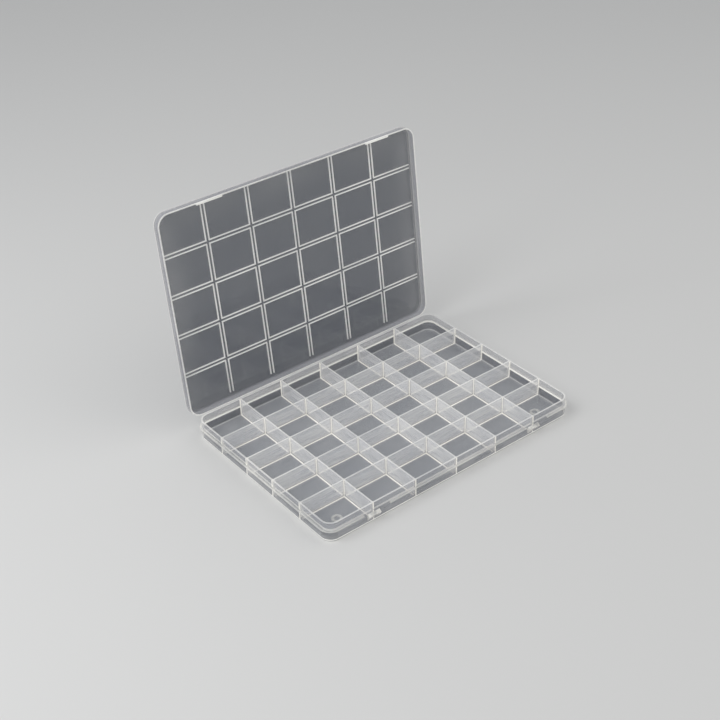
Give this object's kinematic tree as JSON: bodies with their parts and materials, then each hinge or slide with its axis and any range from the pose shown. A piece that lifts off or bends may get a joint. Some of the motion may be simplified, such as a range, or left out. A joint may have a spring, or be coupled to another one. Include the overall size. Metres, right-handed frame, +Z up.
{
  "type": "compartment box with living-hinge lid",
  "caption": "Flat rectangular clear plastic box with a grid of fixed compartments and one hinged lid whose paired ribs shut each compartment off.",
  "frame": {"origin": "middle of the tray's flat underside", "axes": "+X along the hinge, +Y from the front edge to the hinge side, +Z up out of the compartments"},
  "size_m": [0.1834, 0.1515, 0.1383],
  "materials": {
    "tray_clear": "natural translucent polypropylene, smooth moulded gloss, milky",
    "divider_clear": "natural translucent polypropylene, thin walls with bright milky edges",
    "moulded_detail_clear": "thicker natural polypropylene, cream where light gathers",
    "hinge_clear": "thin natural polypropylene, paler where it bends",
    "lid_clear": "natural translucent polypropylene sheet, glossy, grey-blue where the dark shows through",
    "rib_clear": "fine moulded ribs of natural polypropylene, bright off-white edges"
  },
  "bodies": {
    "tray": {"tray_shell": "tray_clear", "floor_rings": "moulded_detail_clear", "long_divider_1": "divider_clear", "long_divider_2": "divider_clear", "long_divider_3": "divider_clear", "long_divider_4": "divider_clear", "long_divider_5": "divider_clear", "cross_divider_1": "divider_clear", "cross_divider_2": "divider_clear", "cross_divider_3": "divider_clear", "cross_divider_4": "divider_clear", "tray_catch_left": "moulded_detail_clear", "tray_catch_right": "moulded_detail_clear", "tray_hinge_plates": "hinge_clear", "hinge_film_left": "hinge_clear", "hinge_film_right": "hinge_clear"},
    "lid": {"lid_shell": "lid_clear", "lid_tab_left": "moulded_detail_clear", "lid_tab_right": "moulded_detail_clear", "lid_hinge_plates": "hinge_clear", "seal_ribs_1": "rib_clear", "seal_ribs_2": "rib_clear", "seal_ribs_3": "rib_clear", "seal_ribs_4": "rib_clear", "seal_ribs_5": "rib_clear"}
  },
  "joints": [
    {"name": "lid_hinge", "type": "hinge", "parent": "tray", "child": "lid", "pos_m": [0, 0.06642, 0.00795], "axis": [-1, 0, 0], "range_deg": [-96.2, 83.8]}
  ]
}
